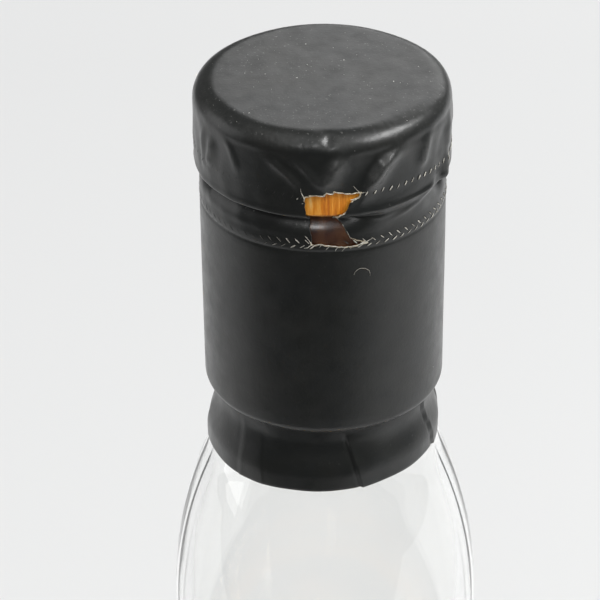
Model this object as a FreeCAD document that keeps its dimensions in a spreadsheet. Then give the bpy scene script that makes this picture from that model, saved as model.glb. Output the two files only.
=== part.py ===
"""Sealed whisky bottle: clear glass bottle, whisky, wooden-topped cork stopper and black film capsule.

Millimetres, +Z up. The origin is the centre of the base on the surface the bottle stands on.
The torn place in the capsule faces -Y. Every piece is turned about the Z axis, so each body is one
closed half-section revolved once, and the capsule then gets its tear and its slanted lower edge cut.
"""
import FreeCAD, Part
import math
import os

import Sketcher

DOC = FreeCAD.newDocument("whisky_bottle")
SHEET = DOC.addObject("Spreadsheet::Sheet", "dims")

# alias, size in mm, what it is
DRIVING_SIZES = [
    ("total_height", 305.0, "base to the top of the capsule"),
    ("body_radius", 40.0, "outside of the straight body"),
    ("body_wall", 3.0, "glass thickness in the body"),
    ("heel_radius", 6.0, "outer rounding between body and base"),
    ("ring_radius", 27.0, "inner edge of the ring the bottle stands on"),
    ("punt_height", 5.0, "hollow dome under the base"),
    ("floor_height", 12.0, "inner floor at its edge, above the base plane"),
    ("floor_crown", 3.0, "rise of the inner floor at its middle"),
    ("floor_heel", 9.0, "inner rounding between wall and floor"),
    ("shoulder_height", 141.5, "where the straight body ends"),
    ("shoulder_rise", 54.0, "height of the shoulder curve"),
    ("shoulder_share", 0.36, "part of the shoulder curve that is hollow, at the neck end"),
    ("neck_radius", 21.1, "outside of the swollen neck"),
    ("neck_wall", 2.3, "glass thickness in the neck"),
    ("swell_drop", 82.0, "capsule top down to where the neck is widest"),
    ("swell_share", 0.30, "part of the neck's swelling curve that is hollow, at its top"),
    ("waist_drop", 46.5, "capsule top down to where the narrow waist ends"),
    ("waist_radius", 14.3, "outside of the waist under the finish"),
    ("finish_radius", 15.65, "outside of the thick glass finish"),
    ("finish_drop", 43.9, "capsule top down to the underside of the finish"),
    ("finish_rounding", 0.9, "rounding of the finish's lower edge"),
    ("lip_rounding", 2.8, "outer rounding of the glass lip"),
    ("lip_easing", 0.6, "inner rounding of the lip at the bore"),
    ("bore_radius", 9.3, "bore that the cork fills"),
    ("bore_length", 29.0, "straight part of the bore, from the lip"),
    ("fill_height", 200.0, "surface of the whisky above the base"),
    ("head_radius", 16.25, "wooden stopper head"),
    ("head_height", 11.25, "wooden stopper head"),
    ("head_rounding", 1.8, "rounding of the head's top edge"),
    ("cork_length", 22.0, "cork shank below the head"),
    ("cork_chamfer", 1.0, "bevel at the cork's tip"),
    ("film_wall", 0.25, "capsule film, slack included"),
    ("groove_drop", 12.9, "capsule top down to where the film meets the lip"),
    ("skirt_drop", 54.1, "capsule top down to the middle of its lower edge"),
    ("skirt_slant", 0.0436, "slope of the lower edge, down towards -X"),
    ("cut_reach", 20.0, "half-width of the cutting shapes, wider than the capsule"),
]


class Size:
    """A number together with the expression that gives the same number from the sheet."""

    def __init__(self, value, text=None):
        self.value = float(value)
        self.text = text if text else repr(float(value))

    def join(self, other, value, sign):
        return Size(value, f"({self.text} {sign} {other.text})")

    def __add__(self, other):
        other = sized(other)
        return self.join(other, self.value + other.value, "+")

    def __sub__(self, other):
        other = sized(other)
        return self.join(other, self.value - other.value, "-")

    def __mul__(self, other):
        other = sized(other)
        return self.join(other, self.value * other.value, "*")

    def __truediv__(self, other):
        other = sized(other)
        return self.join(other, self.value / other.value, "/")

    def __rsub__(self, other):
        return sized(other) - self

    def root(self):
        return Size(math.sqrt(self.value), f"sqrt({self.text})")


def sized(thing):
    return thing if isinstance(thing, Size) else Size(thing)


def fill_sheet():
    """Write the driving sizes into the sheet and return them as Sizes by alias."""
    sizes = {}
    for row, (alias, value, meaning) in enumerate(DRIVING_SIZES, start=1):
        SHEET.set(f"A{row}", meaning)
        SHEET.set(f"B{row}", repr(value))
        SHEET.setAlias(f"B{row}", alias)
    DOC.recompute()
    for alias, _value, _meaning in DRIVING_SIZES:
        sizes[alias] = Size(SHEET.get(alias), f"dims.{alias}")
    return sizes


D = fill_sheet()
TOP = D["total_height"]
ZERO = Size(0)

LEFT, RIGHT = 1, -1  # side of travel on which an arc's centre lies


def corner(radius, height, bend=None):
    """A point of a half-section, and the arc that leads from it to the next point, if any."""
    return {"radius": sized(radius), "height": sized(height), "bend": bend}


def s_curve(low, high, share, centre_side_low):
    """Two tangent arcs that leave one point and reach the other along the Z axis.

    low and high are (radius, height) pairs; share is the part nearer to high. Returns the corners
    for low and the meeting point; the corner for high follows them in the outline.
    """
    run = low[0] - high[0]
    rise = high[1] - low[1]
    bends = (run * run + rise * rise) / (run * 2)
    meeting = (high[0] + run * share, high[1] - rise * share)
    return [
        corner(low[0], low[1], (bends * (1 - share), centre_side_low)),
        corner(meeting[0], meeting[1], (bends * share, -centre_side_low)),
    ]


def arc_centre(start, end, radius, side):
    """Centre of the minor arc of that radius from start to end, on the given side of travel."""
    chord = end - start
    half = chord.Length / 2
    reach = math.sqrt(max(radius * radius - half * half, 0.0))
    left = FreeCAD.Vector(-chord.y, chord.x, 0).normalize()
    return start + chord * 0.5 + left * (reach * side)


def plane_of(body, role):
    return next(f for f in body.Origin.OriginFeatures if f.Role == role)


def section_sketch(body, name, corners):
    """A closed sketch on the body's XZ plane whose every point and arc is bound to the sheet."""
    sketch = body.newObject("Sketcher::SketchObject", name)
    sketch.AttachmentSupport = (plane_of(body, "XZ_Plane"), [""])
    sketch.MapMode = "FlatFace"
    spots = [FreeCAD.Vector(c["radius"].value, c["height"].value, 0) for c in corners]
    ends = []
    for i, c in enumerate(corners):
        start, end = spots[i], spots[(i + 1) % len(spots)]
        if c["bend"] is None:
            sketch.addGeometry(Part.LineSegment(start, end), False)
            ends.append((1, 2))
            continue
        radius, side = c["bend"]
        middle = arc_centre(start, end, radius.value, side)
        circle = Part.Circle(middle, FreeCAD.Vector(0, 0, 1), radius.value)
        first, last = (start, end) if side == LEFT else (end, start)
        angles = [math.atan2(p.y - middle.y, p.x - middle.x) for p in (first, last)]
        sketch.addGeometry(Part.ArcOfCircle(circle, angles[0], angles[1]), False)
        ends.append((1, 2) if side == LEFT else (2, 1))
    for i in range(len(corners)):
        after = (i + 1) % len(corners)
        sketch.addConstraint(Sketcher.Constraint("Coincident", i, ends[i][1], after, ends[after][0]))
    bound = []
    for i, c in enumerate(corners):
        for kind, size, axis in (("DistanceX", c["radius"], -2), ("DistanceY", c["height"], -1)):
            if size.text == ZERO.text:
                sketch.addConstraint(Sketcher.Constraint("PointOnObject", i, ends[i][0], axis))
                continue
            rule = Sketcher.Constraint(kind, -1, 1, i, ends[i][0], size.value)
            bound.append((sketch.addConstraint(rule), f"{kind}_{i}", size))
        if c["bend"] is not None:
            rule = Sketcher.Constraint("Radius", i, c["bend"][0].value)
            bound.append((sketch.addConstraint(rule), f"Radius_{i}", c["bend"][0]))
    for index, label, size in bound:
        sketch.renameConstraint(index, label)
        sketch.setExpression(f"Constraints.{label}", size.text)
    return sketch


def turned_body(label, corners):
    """A PartDesign body: the half-section revolved once about Z."""
    body = DOC.addObject("PartDesign::Body", label)
    body.Label = label
    body.Placement = FreeCAD.Placement()
    sketch = section_sketch(body, f"{label}_section", corners)
    turn = body.newObject("PartDesign::Revolution", f"{label}_turned")
    turn.Profile = sketch
    turn.ReferenceAxis = (sketch, ["V_Axis"])
    turn.Angle = 360
    body.Tip = turn
    DOC.recompute()
    return body


def cut_through(body, name, corners, length, both_ways):
    """Pocket a sketch on the XZ plane, towards -Y or both ways, and check that it removed material."""
    before = body.Shape.Volume
    sketch = section_sketch(body, f"{name}_sketch", corners)
    pocket = body.newObject("PartDesign::Pocket", name)
    pocket.Profile = sketch
    pocket.Type = "Length"
    pocket.setExpression("Length", length.text)
    if both_ways:
        pocket.Midplane = True
    else:
        pocket.Reversed = True
    body.Tip = pocket
    DOC.recompute()
    if not body.Shape.Volume < before - 1e-3:
        raise RuntimeError(f"{name} removed nothing")


# heights shared by more than one piece
LIP_HEIGHT = TOP - D["film_wall"] - D["head_height"]
FINISH_BOTTOM = TOP - D["finish_drop"]
WAIST_BOTTOM = TOP - D["waist_drop"]
SWELL_HEIGHT = TOP - D["swell_drop"]
SHOULDER_TOP = D["shoulder_height"] + D["shoulder_rise"]
INNER_BODY_RADIUS = D["body_radius"] - D["body_wall"]
INNER_NECK_RADIUS = D["neck_radius"] - D["neck_wall"]
BORE_BOTTOM = LIP_HEIGHT - D["bore_length"]


def dome_radius(reach, rise):
    """Radius of the sphere whose cap is this wide and this high."""
    return (reach * reach + rise * rise) / (rise * 2)


def hollow_below_neck():
    """Inner glass surface from the middle of the floor up to the straight neck."""
    floor_edge = INNER_BODY_RADIUS - D["floor_heel"]
    rounded = (D["floor_heel"], LEFT)
    crown = (dome_radius(floor_edge, D["floor_crown"]), RIGHT)
    wall_foot = corner(INNER_BODY_RADIUS, D["floor_height"] + D["floor_heel"])
    shoulder_foot = (INNER_BODY_RADIUS, D["shoulder_height"])
    shoulder = s_curve(shoulder_foot, (INNER_NECK_RADIUS, SHOULDER_TOP), D["shoulder_share"], LEFT)
    return [
        corner(ZERO, D["floor_height"] + D["floor_crown"], crown),
        corner(floor_edge, D["floor_height"], rounded),
        wall_foot,
        *shoulder,
    ]


def backwards(corners):
    """The same outline travelled the other way; each arc moves to the corner it now starts from."""
    turned = []
    for i in range(len(corners) - 1, -1, -1):
        bend = corners[i - 1]["bend"] if i else None
        if bend is not None:
            bend = (bend[0], -bend[1])
        turned.append(corner(corners[i]["radius"], corners[i]["height"], bend))
    return turned


def make_glass_bottle():
    """One blown and pressed piece of clear glass: punt, body, shoulder, swollen neck and thick finish."""
    shoulder_foot = (D["body_radius"], D["shoulder_height"])
    outside = [
        corner(ZERO, D["punt_height"], (dome_radius(D["ring_radius"], D["punt_height"]), RIGHT)),
        corner(D["ring_radius"], ZERO),
        corner(D["body_radius"] - D["heel_radius"], ZERO, (D["heel_radius"], LEFT)),
        corner(D["body_radius"], D["heel_radius"]),
        *s_curve(shoulder_foot, (D["neck_radius"], SHOULDER_TOP), D["shoulder_share"], LEFT),
        corner(D["neck_radius"], SHOULDER_TOP),
        *s_curve(
            (D["neck_radius"], SWELL_HEIGHT), (D["waist_radius"], WAIST_BOTTOM), D["swell_share"], LEFT
        ),
        corner(D["waist_radius"], WAIST_BOTTOM),
        corner(D["waist_radius"], FINISH_BOTTOM),
        corner(D["finish_radius"] - D["finish_rounding"], FINISH_BOTTOM, (D["finish_rounding"], LEFT)),
        corner(D["finish_radius"], FINISH_BOTTOM + D["finish_rounding"]),
        corner(D["finish_radius"], LIP_HEIGHT - D["lip_rounding"], (D["lip_rounding"], LEFT)),
        corner(D["finish_radius"] - D["lip_rounding"], LIP_HEIGHT),
        corner(D["bore_radius"] + D["lip_easing"], LIP_HEIGHT, (D["lip_easing"], LEFT)),
        corner(D["bore_radius"], LIP_HEIGHT - D["lip_easing"]),
    ]
    swell = s_curve(
        (INNER_NECK_RADIUS, SWELL_HEIGHT), (D["bore_radius"], BORE_BOTTOM), D["swell_share"], LEFT
    )
    inside = [
        *hollow_below_neck(),
        corner(INNER_NECK_RADIUS, SHOULDER_TOP),
        *swell,
        corner(D["bore_radius"], BORE_BOTTOM),
    ]
    return turned_body("glass_bottle", outside + backwards(inside))


def make_whisky():
    """The drink, filling the inside face to face up to its level in the straight part of the neck."""
    corners = [
        *hollow_below_neck(),
        corner(INNER_NECK_RADIUS, SHOULDER_TOP),
        corner(INNER_NECK_RADIUS, D["fill_height"]),
        corner(ZERO, D["fill_height"]),
    ]
    return turned_body("whisky", corners)


def make_stopper_head():
    """Turned wooden disc that sits on the glass lip."""
    head_top = LIP_HEIGHT + D["head_height"]
    corners = [
        corner(ZERO, LIP_HEIGHT),
        corner(D["head_radius"], LIP_HEIGHT),
        corner(D["head_radius"], head_top - D["head_rounding"], (D["head_rounding"], LEFT)),
        corner(D["head_radius"] - D["head_rounding"], head_top),
        corner(ZERO, head_top),
    ]
    return turned_body("stopper_head", corners)


def make_stopper_cork():
    """Cork shank glued under the head, filling the bore."""
    tip = LIP_HEIGHT - D["cork_length"]
    corners = [
        corner(ZERO, tip),
        corner(D["bore_radius"] - D["cork_chamfer"], tip),
        corner(D["bore_radius"], tip + D["cork_chamfer"]),
        corner(D["bore_radius"], LIP_HEIGHT),
        corner(ZERO, LIP_HEIGHT),
    ]
    return turned_body("stopper_cork", corners)


def film_side(gap):
    """Half-section line of the film, gap outside the wood and glass, from its lower edge to the axis."""
    lowest = TOP - D["skirt_drop"] - D["skirt_slant"] * D["cut_reach"]
    drop = WAIST_BOTTOM - lowest
    glass_run = D["neck_radius"] - D["waist_radius"]
    glass_rise = WAIST_BOTTOM - SWELL_HEIGHT
    glass_bend = (glass_run * glass_run + glass_rise * glass_rise) / (glass_run * 2) * D["swell_share"]
    film_bend = glass_bend - gap
    flared = D["waist_radius"] + glass_bend - (film_bend * film_bend - drop * drop).root()
    turn_in = D["finish_rounding"] + gap
    head_edge = D["head_rounding"] + gap
    side = D["head_radius"] + gap
    return [
        corner(flared, lowest, (film_bend, RIGHT)),
        corner(D["waist_radius"] + gap, WAIST_BOTTOM),
        corner(D["waist_radius"] + gap, FINISH_BOTTOM - gap),
        corner(D["finish_radius"] - D["finish_rounding"], FINISH_BOTTOM - gap, (turn_in, LEFT)),
        corner(D["finish_radius"] + gap, FINISH_BOTTOM + D["finish_rounding"]),
        corner(D["finish_radius"] + gap, TOP - D["groove_drop"]),
        corner(side, LIP_HEIGHT),
        corner(side, LIP_HEIGHT + D["head_height"] - D["head_rounding"], (head_edge, LEFT)),
        corner(D["head_radius"] - D["head_rounding"], LIP_HEIGHT + D["head_height"] + gap),
        corner(ZERO, LIP_HEIGHT + D["head_height"] + gap),
    ]


def make_capsule():
    """Black shrunk film over head, groove and finish, with its torn place and slanted lower edge."""
    body = turned_body("capsule", film_side(D["film_wall"]) + backwards(film_side(ZERO)))
    # the torn place, from the upper tear line down to the lower one: distance from the axis to +X,
    # and distance below the top of the capsule
    tear = [
        (-2.35, 8.3),
        (-1.75, 13.2),
        (-1.35, 15.7),
        (2.7, 16.0),
        (5.9, 15.9),
        (4.1, 15.2),
        (2.8, 13.7),
        (1.3, 12.2),
        (2.75, 10.8),
        (3.7, 8.4),
        (0.7, 7.8),
    ]
    outline = [corner(across, TOP - below) for across, below in tear]
    cut_through(body, "tear", outline, D["cut_reach"], both_ways=False)
    edge = TOP - D["skirt_drop"]
    lift = D["skirt_slant"] * D["cut_reach"]
    below = edge - D["cut_reach"]
    slant = [
        corner(D["cut_reach"] * -1, edge - lift),
        corner(D["cut_reach"] * -1, below),
        corner(D["cut_reach"], below),
        corner(D["cut_reach"], edge + lift),
    ]
    cut_through(body, "slanted_edge", slant, D["cut_reach"] * 2, both_ways=True)
    return body


PIECES = [make_glass_bottle(), make_whisky(), make_stopper_head(), make_stopper_cork(), make_capsule()]
DOC.recompute()

for item in DOC.Objects:
    if any(flag in item.State for flag in ("Invalid", "Error")):
        raise RuntimeError(f"{item.Name} did not compute: {item.State}")

os.makedirs("parts", exist_ok=True)
for piece in PIECES:
    shape = piece.Shape
    if shape.isNull() or not shape.isValid() or len(shape.Solids) != 1:
        raise RuntimeError(f"{piece.Label} is not one valid solid")
    shape.exportStep(os.path.join("parts", f"{piece.Label}.step"))
    box = shape.optimalBoundingBox()
    reach = f"z {box.ZMin:.2f} to {box.ZMax:.2f}, across {box.XLength:.2f}"
    print(f"{piece.Label}: {shape.Volume / 1000:.2f} ml, {reach}")
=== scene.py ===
import math
import random

import bmesh
import bpy
import numpy as np
from mathutils import Matrix, Vector


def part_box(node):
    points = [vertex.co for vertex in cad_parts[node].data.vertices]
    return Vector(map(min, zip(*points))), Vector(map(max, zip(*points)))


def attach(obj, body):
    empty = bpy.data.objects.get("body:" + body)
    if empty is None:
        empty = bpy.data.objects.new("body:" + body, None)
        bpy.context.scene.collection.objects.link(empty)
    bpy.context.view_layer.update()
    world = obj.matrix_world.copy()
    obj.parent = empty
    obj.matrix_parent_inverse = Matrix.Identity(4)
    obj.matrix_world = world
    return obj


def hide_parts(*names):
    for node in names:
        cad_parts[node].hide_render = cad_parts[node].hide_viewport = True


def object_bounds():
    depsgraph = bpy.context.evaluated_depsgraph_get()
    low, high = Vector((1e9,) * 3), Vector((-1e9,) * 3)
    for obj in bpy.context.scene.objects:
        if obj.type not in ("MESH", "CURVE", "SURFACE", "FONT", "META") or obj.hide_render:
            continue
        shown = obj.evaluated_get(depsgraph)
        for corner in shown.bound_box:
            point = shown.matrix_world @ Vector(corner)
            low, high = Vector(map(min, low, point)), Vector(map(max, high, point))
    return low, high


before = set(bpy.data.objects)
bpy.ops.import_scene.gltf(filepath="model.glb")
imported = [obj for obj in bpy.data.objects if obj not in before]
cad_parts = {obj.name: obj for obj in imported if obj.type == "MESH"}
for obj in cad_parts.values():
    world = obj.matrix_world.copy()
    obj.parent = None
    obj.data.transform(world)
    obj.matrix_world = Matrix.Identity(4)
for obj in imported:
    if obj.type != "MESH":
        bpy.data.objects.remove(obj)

cad_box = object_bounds()
MM = 0.001

# ---------------------------------------------------------------------------------------------------
# Glass bottle. One piece of clear, colourless glass, blown in a two-part mould, so it carries two fine
# seams up its sides. Under a thick straight collar it has a narrow waist and a swollen neck, and it
# stands on a flat ring round a shallow punt.

glass_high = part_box("glass_bottle")[1]
body_radius = glass_high.x / MM
lip_height = glass_high.z / MM
bottle_top = cad_box[1].z / MM  # top of the capsule over the lip and stopper
neck_radius = 21.1
waist_radius = 14.3
collar_radius = 15.65
bore_radius = 9.3
neck_wall = 2.3
body_wall = 3.0
shoulder_foot = 141.5
shoulder_top = shoulder_foot + 54.0
neck_top = bottle_top - 82.0  # where the wide part of the neck starts to narrow to the waist
waist_foot = bottle_top - 46.5
collar_foot = bottle_top - 43.9
bore_foot = lip_height - 29.0
shoulder_share, neck_share = 0.36, 0.30  # how much of each bend its upper arc takes
floor_thick, floor_crown, inner_heel = 12.0, 3.0, 9.0  # of the bottle's inside


def run(a, b, step):
    """Points from a towards b, b left out, no further apart than step."""
    count = max(1, math.ceil(math.dist(a, b) / step))
    return [(a[0] + (b[0] - a[0]) * i / count, a[1] + (b[1] - a[1]) * i / count) for i in range(count)]


def quarter(centre, radius, start, end, count):
    """Points of an arc from angle start to angle end in degrees, its last point left out."""
    turns = [math.radians(start + (end - start) * i / count) for i in range(count)]
    return [(centre[0] + radius * math.cos(a), centre[1] + radius * math.sin(a)) for a in turns]


def s_bend(low, high, share, count):
    """Two tangent arcs that leave low and reach high along the bottle's axis; share is the upper part."""
    across, rise = low[0] - high[0], high[1] - low[1]
    bends = (across * across + rise * rise) / (across * 2)
    turn = math.degrees(math.asin(rise / bends))
    outer, inner = bends * (1 - share), bends * share
    below = quarter((low[0] - outer, low[1]), outer, 0, turn, count)
    above = quarter((high[0] + inner, high[1]), inner, 180 + turn, 180, count)
    return below + above


def dome(reach, low, rise, count):
    """Points of a shallow dome from its middle out to its rim, the rim left out."""
    radius = (reach * reach + rise * rise) / (2 * rise)
    across = [reach * i / count for i in range(count)]
    return [(x, low + rise - radius + math.sqrt(radius * radius - x * x)) for x in across]


def bottle_outside():
    """The outer surface from the middle of the punt up to the mouth."""
    heel, ring, punt = 6.0, 27.0, 5.0
    foot_edge, lip, mouth_edge = 0.9, 4.0, 0.6
    return [
        *dome(ring, 0, punt, 14),
        *run((ring, 0), (body_radius - heel, 0), 1.5),
        *quarter((body_radius - heel, heel), heel, -90, 0, 12),
        *run((body_radius, heel), (body_radius, shoulder_foot), 4.0),
        *s_bend((body_radius, shoulder_foot), (neck_radius, shoulder_top), shoulder_share, 18),
        *run((neck_radius, shoulder_top), (neck_radius, neck_top), 3.0),
        *s_bend((neck_radius, neck_top), (waist_radius, waist_foot), neck_share, 14),
        *run((waist_radius, waist_foot), (waist_radius, collar_foot), 1.0),
        *run((waist_radius, collar_foot), (collar_radius - foot_edge, collar_foot), 0.5),
        *quarter((collar_radius - foot_edge, collar_foot + foot_edge), foot_edge, -90, 0, 6),
        *run((collar_radius, collar_foot + foot_edge), (collar_radius, lip_height - lip), 3.0),
        *quarter((collar_radius - lip, lip_height - lip), lip, 0, 90, 16),
        *run((collar_radius - lip, lip_height), (bore_radius + mouth_edge, lip_height), 1.0),
        *quarter((bore_radius + mouth_edge, lip_height - mouth_edge), mouth_edge, 90, 180, 5),
    ]


def body_inside(into_glass=0.0):
    """The inner surface from the middle of the floor to the foot of the neck, set into the glass or not."""
    wall, floor, heel = body_radius - body_wall + into_glass, floor_thick - into_glass, inner_heel
    neck = neck_radius - neck_wall + into_glass
    return [
        *dome(wall - heel, floor, floor_crown, 12),
        *quarter((wall - heel, floor + heel), heel, -90, 0, 12),
        *run((wall, floor + heel), (wall, shoulder_foot), 4.0),
        *s_bend((wall, shoulder_foot), (neck, shoulder_top), shoulder_share, 18),
    ]


def bottle_inside():
    """The inner surface from the middle of the floor up to the mouth."""
    inner_neck, mouth_edge = neck_radius - neck_wall, 0.6
    return [
        *body_inside(),
        *run((inner_neck, shoulder_top), (inner_neck, neck_top), 3.0),
        *s_bend((inner_neck, neck_top), (bore_radius, bore_foot), neck_share, 14),
        *run((bore_radius, bore_foot), (bore_radius, lip_height - mouth_edge), 3.0),
    ]


def add(tree, kind, **settings):
    """A node of that kind with its properties set."""
    node = tree.nodes.new(kind)
    for name, value in settings.items():
        setattr(node, name, value)
    return node


def feed(tree, value, socket):
    """Link an output to a socket, or set the socket to a plain value."""
    if isinstance(value, bpy.types.NodeSocket):
        tree.links.new(value, socket)
    else:
        socket.default_value = value


def wired(tree, kind, inputs, **settings):
    """A node with its properties set and its inputs fed by name or number; its first output."""
    node = add(tree, kind, **settings)
    for label, value in inputs.items():
        feed(tree, value, node.inputs[label])
    return node.outputs[0]


def new_tree(name, inputs, output, kind="Geometry"):
    """A node group with inputs, each (name, kind, start value), and one output; also its end sockets.

    It is a Geometry Nodes tree if it puts out geometry, and a shader group otherwise.
    """
    sort_of_tree = "GeometryNodeTree" if kind == "Geometry" else "ShaderNodeTree"
    tree = bpy.data.node_groups.new(name, sort_of_tree)
    for label, sort, start in inputs:
        socket = tree.interface.new_socket(label, in_out="INPUT", socket_type=f"NodeSocket{sort}")
        if start is not None:
            socket.default_value = start
    tree.interface.new_socket(output, in_out="OUTPUT", socket_type=f"NodeSocket{kind}")
    return tree, add(tree, "NodeGroupInput").outputs, add(tree, "NodeGroupOutput").inputs[0]


def sums(tree, operation, first, second=0.0, third=0.0):
    """A Math node's output."""
    node = add(tree, "ShaderNodeMath", operation=operation)
    for value, socket in zip((first, second, third), node.inputs):
        feed(tree, value, socket)
    return node.outputs[0]


def product(tree, first, *others):
    """The values multiplied by one another."""
    for each in others:
        first = sums(tree, "MULTIPLY", first, each)
    return first


def split(tree, vector):
    """The X, Y and Z of a vector."""
    node = add(tree, "ShaderNodeSeparateXYZ")
    tree.links.new(vector, node.inputs[0])
    return node.outputs


def named(tree, name, kind="FLOAT"):
    """A value stored on the points under that name."""
    return wired(tree, "GeometryNodeInputNamedAttribute", {0: name}, data_type=kind)


def end_tree(tree, shape, finish, result):
    """End a tree: its instances are made real and given their finish."""
    real = wired(tree, "GeometryNodeRealizeInstances", {0: shape})
    tree.links.new(wired(tree, "GeometryNodeSetMaterial", {"Geometry": real, "Material": finish}), result)


def turning_tree():
    """Geometry Nodes: turns a half-section, given as a chain of points in the XZ plane, about Z."""
    tree, given, result = new_tree("turn_on_axis", [
        ("Half Section", "Geometry", None),
        ("Segments", "Int", 240),
        ("Waviness", "Float", 0.0),
        ("Wave Size", "Float", 0.02),
        ("Seam", "Float", 0.0),
        ("Finish", "Material", None),
    ], "Turned")
    size = add(tree, "GeometryNodeAttributeDomainSize")
    tree.links.new(given["Half Section"], size.inputs[0])
    around = sums(tree, "ADD", given["Segments"], 1.0)
    sides = {"Vertices X": size.outputs["Point Count"], "Vertices Y": around}
    grid = wired(tree, "GeometryNodeMeshGrid", sides)
    index = add(tree, "GeometryNodeInputIndex").outputs[0]
    along = sums(tree, "FLOOR", sums(tree, "DIVIDE", sums(tree, "ADD", index, 0.5), around))
    column = sums(tree, "SUBTRACT", index, product(tree, along, around))
    angle = product(tree, sums(tree, "DIVIDE", column, given["Segments"]), 2 * math.pi)
    sine, cosine = sums(tree, "SINE", angle), sums(tree, "COSINE", angle)

    def read(value, kind):
        """What the half-section's own point has, for each point of the grid."""
        picked = {"Geometry": given["Half Section"], "Value": value, "Index": along}
        return wired(tree, "GeometryNodeSampleIndex", picked, data_type=kind, domain="POINT")

    reach, _, height = split(tree, read(add(tree, "GeometryNodeInputPosition").outputs[0], "FLOAT_VECTOR"))
    outer = read(named(tree, "outside"), "FLOAT")

    def ring(radius):
        """The place at that radius, with the front at no turn."""
        forward = product(tree, radius, product(tree, cosine, -1.0))
        return wired(tree, "ShaderNodeCombineXYZ", {0: product(tree, radius, sine), 1: forward, 2: height})

    # the wall is uneven, more so on its inner side, and not at all on the axis
    fineness = sums(tree, "DIVIDE", 1.0, given["Wave Size"])
    pattern = {"Vector": ring(reach), "Scale": fineness, "Detail": 1.0}
    wave = sums(tree, "SUBTRACT", wired(tree, "ShaderNodeTexNoise", pattern), 0.5)
    off_axis = sums(tree, "MINIMUM", product(tree, reach, 100), 1)
    uneven = product(tree, wave, given["Waviness"], off_axis)
    inner_share = sums(tree, "SUBTRACT", 1.15, outer)
    # a mould seam is a low ridge where the cosine is nought, at both sides of the bottle
    seam_width = 0.0005
    off_seam = product(tree, cosine, sums(tree, "DIVIDE", reach, seam_width))
    crest = sums(tree, "EXPONENT", product(tree, off_seam, off_seam, -1.0))
    seam = product(tree, crest, outer, given["Seam"])
    radius = sums(tree, "ADD", reach, sums(tree, "MULTIPLY_ADD", uneven, inner_share, seam))
    placed = wired(tree, "GeometryNodeSetPosition", {"Geometry": grid, "Position": ring(radius)})
    welded = wired(tree, "GeometryNodeMergeByDistance", {"Geometry": placed, "Distance": 2e-6})
    end_tree(tree, welded, given["Finish"], result)
    return tree


def plain_mesh(name, source, tree, inputs):
    """Run a Geometry Nodes tree on the source mesh and keep the result as an ordinary mesh object."""
    thing = bpy.data.objects.new(name, source)
    bpy.context.scene.collection.objects.link(thing)
    modifier = thing.modifiers.new("shape", "NODES")
    modifier.node_group = tree
    sockets = {s.name: s.identifier for s in tree.interface.items_tree if s.in_out == "INPUT"}
    for label, value in inputs.items():
        modifier[sockets[label]] = value
    graph = bpy.context.evaluated_depsgraph_get()
    shaped = thing.evaluated_get(graph)
    made = bpy.data.meshes.new_from_object(shaped, preserve_all_data_layers=True, depsgraph=graph)
    thing.modifiers.remove(modifier)
    made.name = name
    # a tree can leave empty material slots: drop them and renumber the rest
    slots, kept = list(made.materials), [m for m in made.materials if m]
    index = np.zeros(len(made.polygons), np.int32)
    made.polygons.foreach_get("material_index", index)
    made.materials.clear()
    for material in kept:
        made.materials.append(material)
    order = np.array([kept.index(m) if m in kept else 0 for m in slots])
    made.polygons.foreach_set("material_index", order[index])
    thing.data = made
    return thing


def close_up(thing):
    """Turn a closed mesh's faces outwards and shade it smooth."""
    work = bmesh.new()
    work.from_mesh(thing.data)
    bmesh.ops.recalc_face_normals(work, faces=work.faces)
    if work.calc_volume(signed=True) < 0:
        bmesh.ops.reverse_faces(work, faces=work.faces)
    for face in work.faces:
        face.smooth = True
    work.to_mesh(thing.data)
    work.free()
    return thing


def store(mesh, **values):
    """Store a number or a vector on each point of the mesh, under the name it is given here."""
    for name, each in values.items():
        each = np.asarray(each, np.float32)
        kind, slot = ("FLOAT", "value") if each.ndim == 1 else ("FLOAT_VECTOR", "vector")
        mesh.attributes.new(name, kind, "POINT").data.foreach_set(slot, each.ravel())


turn_on_axis = turning_tree()


def turned(name, outline, finish, outside=None, segments=240, **shape):
    """A piece turned about the bottle's axis from a half-section in mm that starts and ends on it."""
    source = bpy.data.meshes.new(f"{name}_section")
    links = [(i, i + 1) for i in range(len(outline) - 1)]
    source.from_pydata([(r * MM, 0, z * MM) for r, z in outline], links, [])
    store(source, outside=outside or [0.0] * len(outline))
    thing = plain_mesh(name, source, turn_on_axis, {"Segments": segments, "Finish": finish, **shape})
    return close_up(thing)


def new_material(name):
    """A material and its node tree."""
    material = bpy.data.materials.new(name)
    material.use_nodes = True
    return material, material.node_tree


def shaded(material, looks):
    """The material, with its Principled BSDF fed by the names of the inputs."""
    tree = material.node_tree
    for label, value in looks.items():
        feed(tree, value, tree.nodes["Principled BSDF"].inputs[label])
    return material


def on_piece(tree):
    """Object coordinates."""
    return add(tree, "ShaderNodeTexCoord").outputs["Object"]


def noise(tree, scale, detail=2.0, roughness=0.5, vector=None, distortion=0.0):
    """A noise texture on Object coordinates, its value between 0 and 1."""
    if vector is None:
        vector = on_piece(tree)
    texture = {"Vector": vector, "Scale": scale, "Detail": detail, "Roughness": roughness}
    return wired(tree, "ShaderNodeTexNoise", {**texture, "Distortion": distortion})


def spread(tree, value, low, high, to_low=0.0, to_high=1.0):
    """Map a value from one range to another, clamped."""
    return wired(tree, "ShaderNodeMapRange", dict(enumerate((value, low, high, to_low, to_high))))


def bump(tree, height, strength, distance, below=None):
    """A Bump node's normal, distance in metres, over another bump or none."""
    relief = {"Strength": strength, "Distance": distance, "Height": height}
    if below is not None:
        relief["Normal"] = below
    return wired(tree, "ShaderNodeBump", relief)


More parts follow.
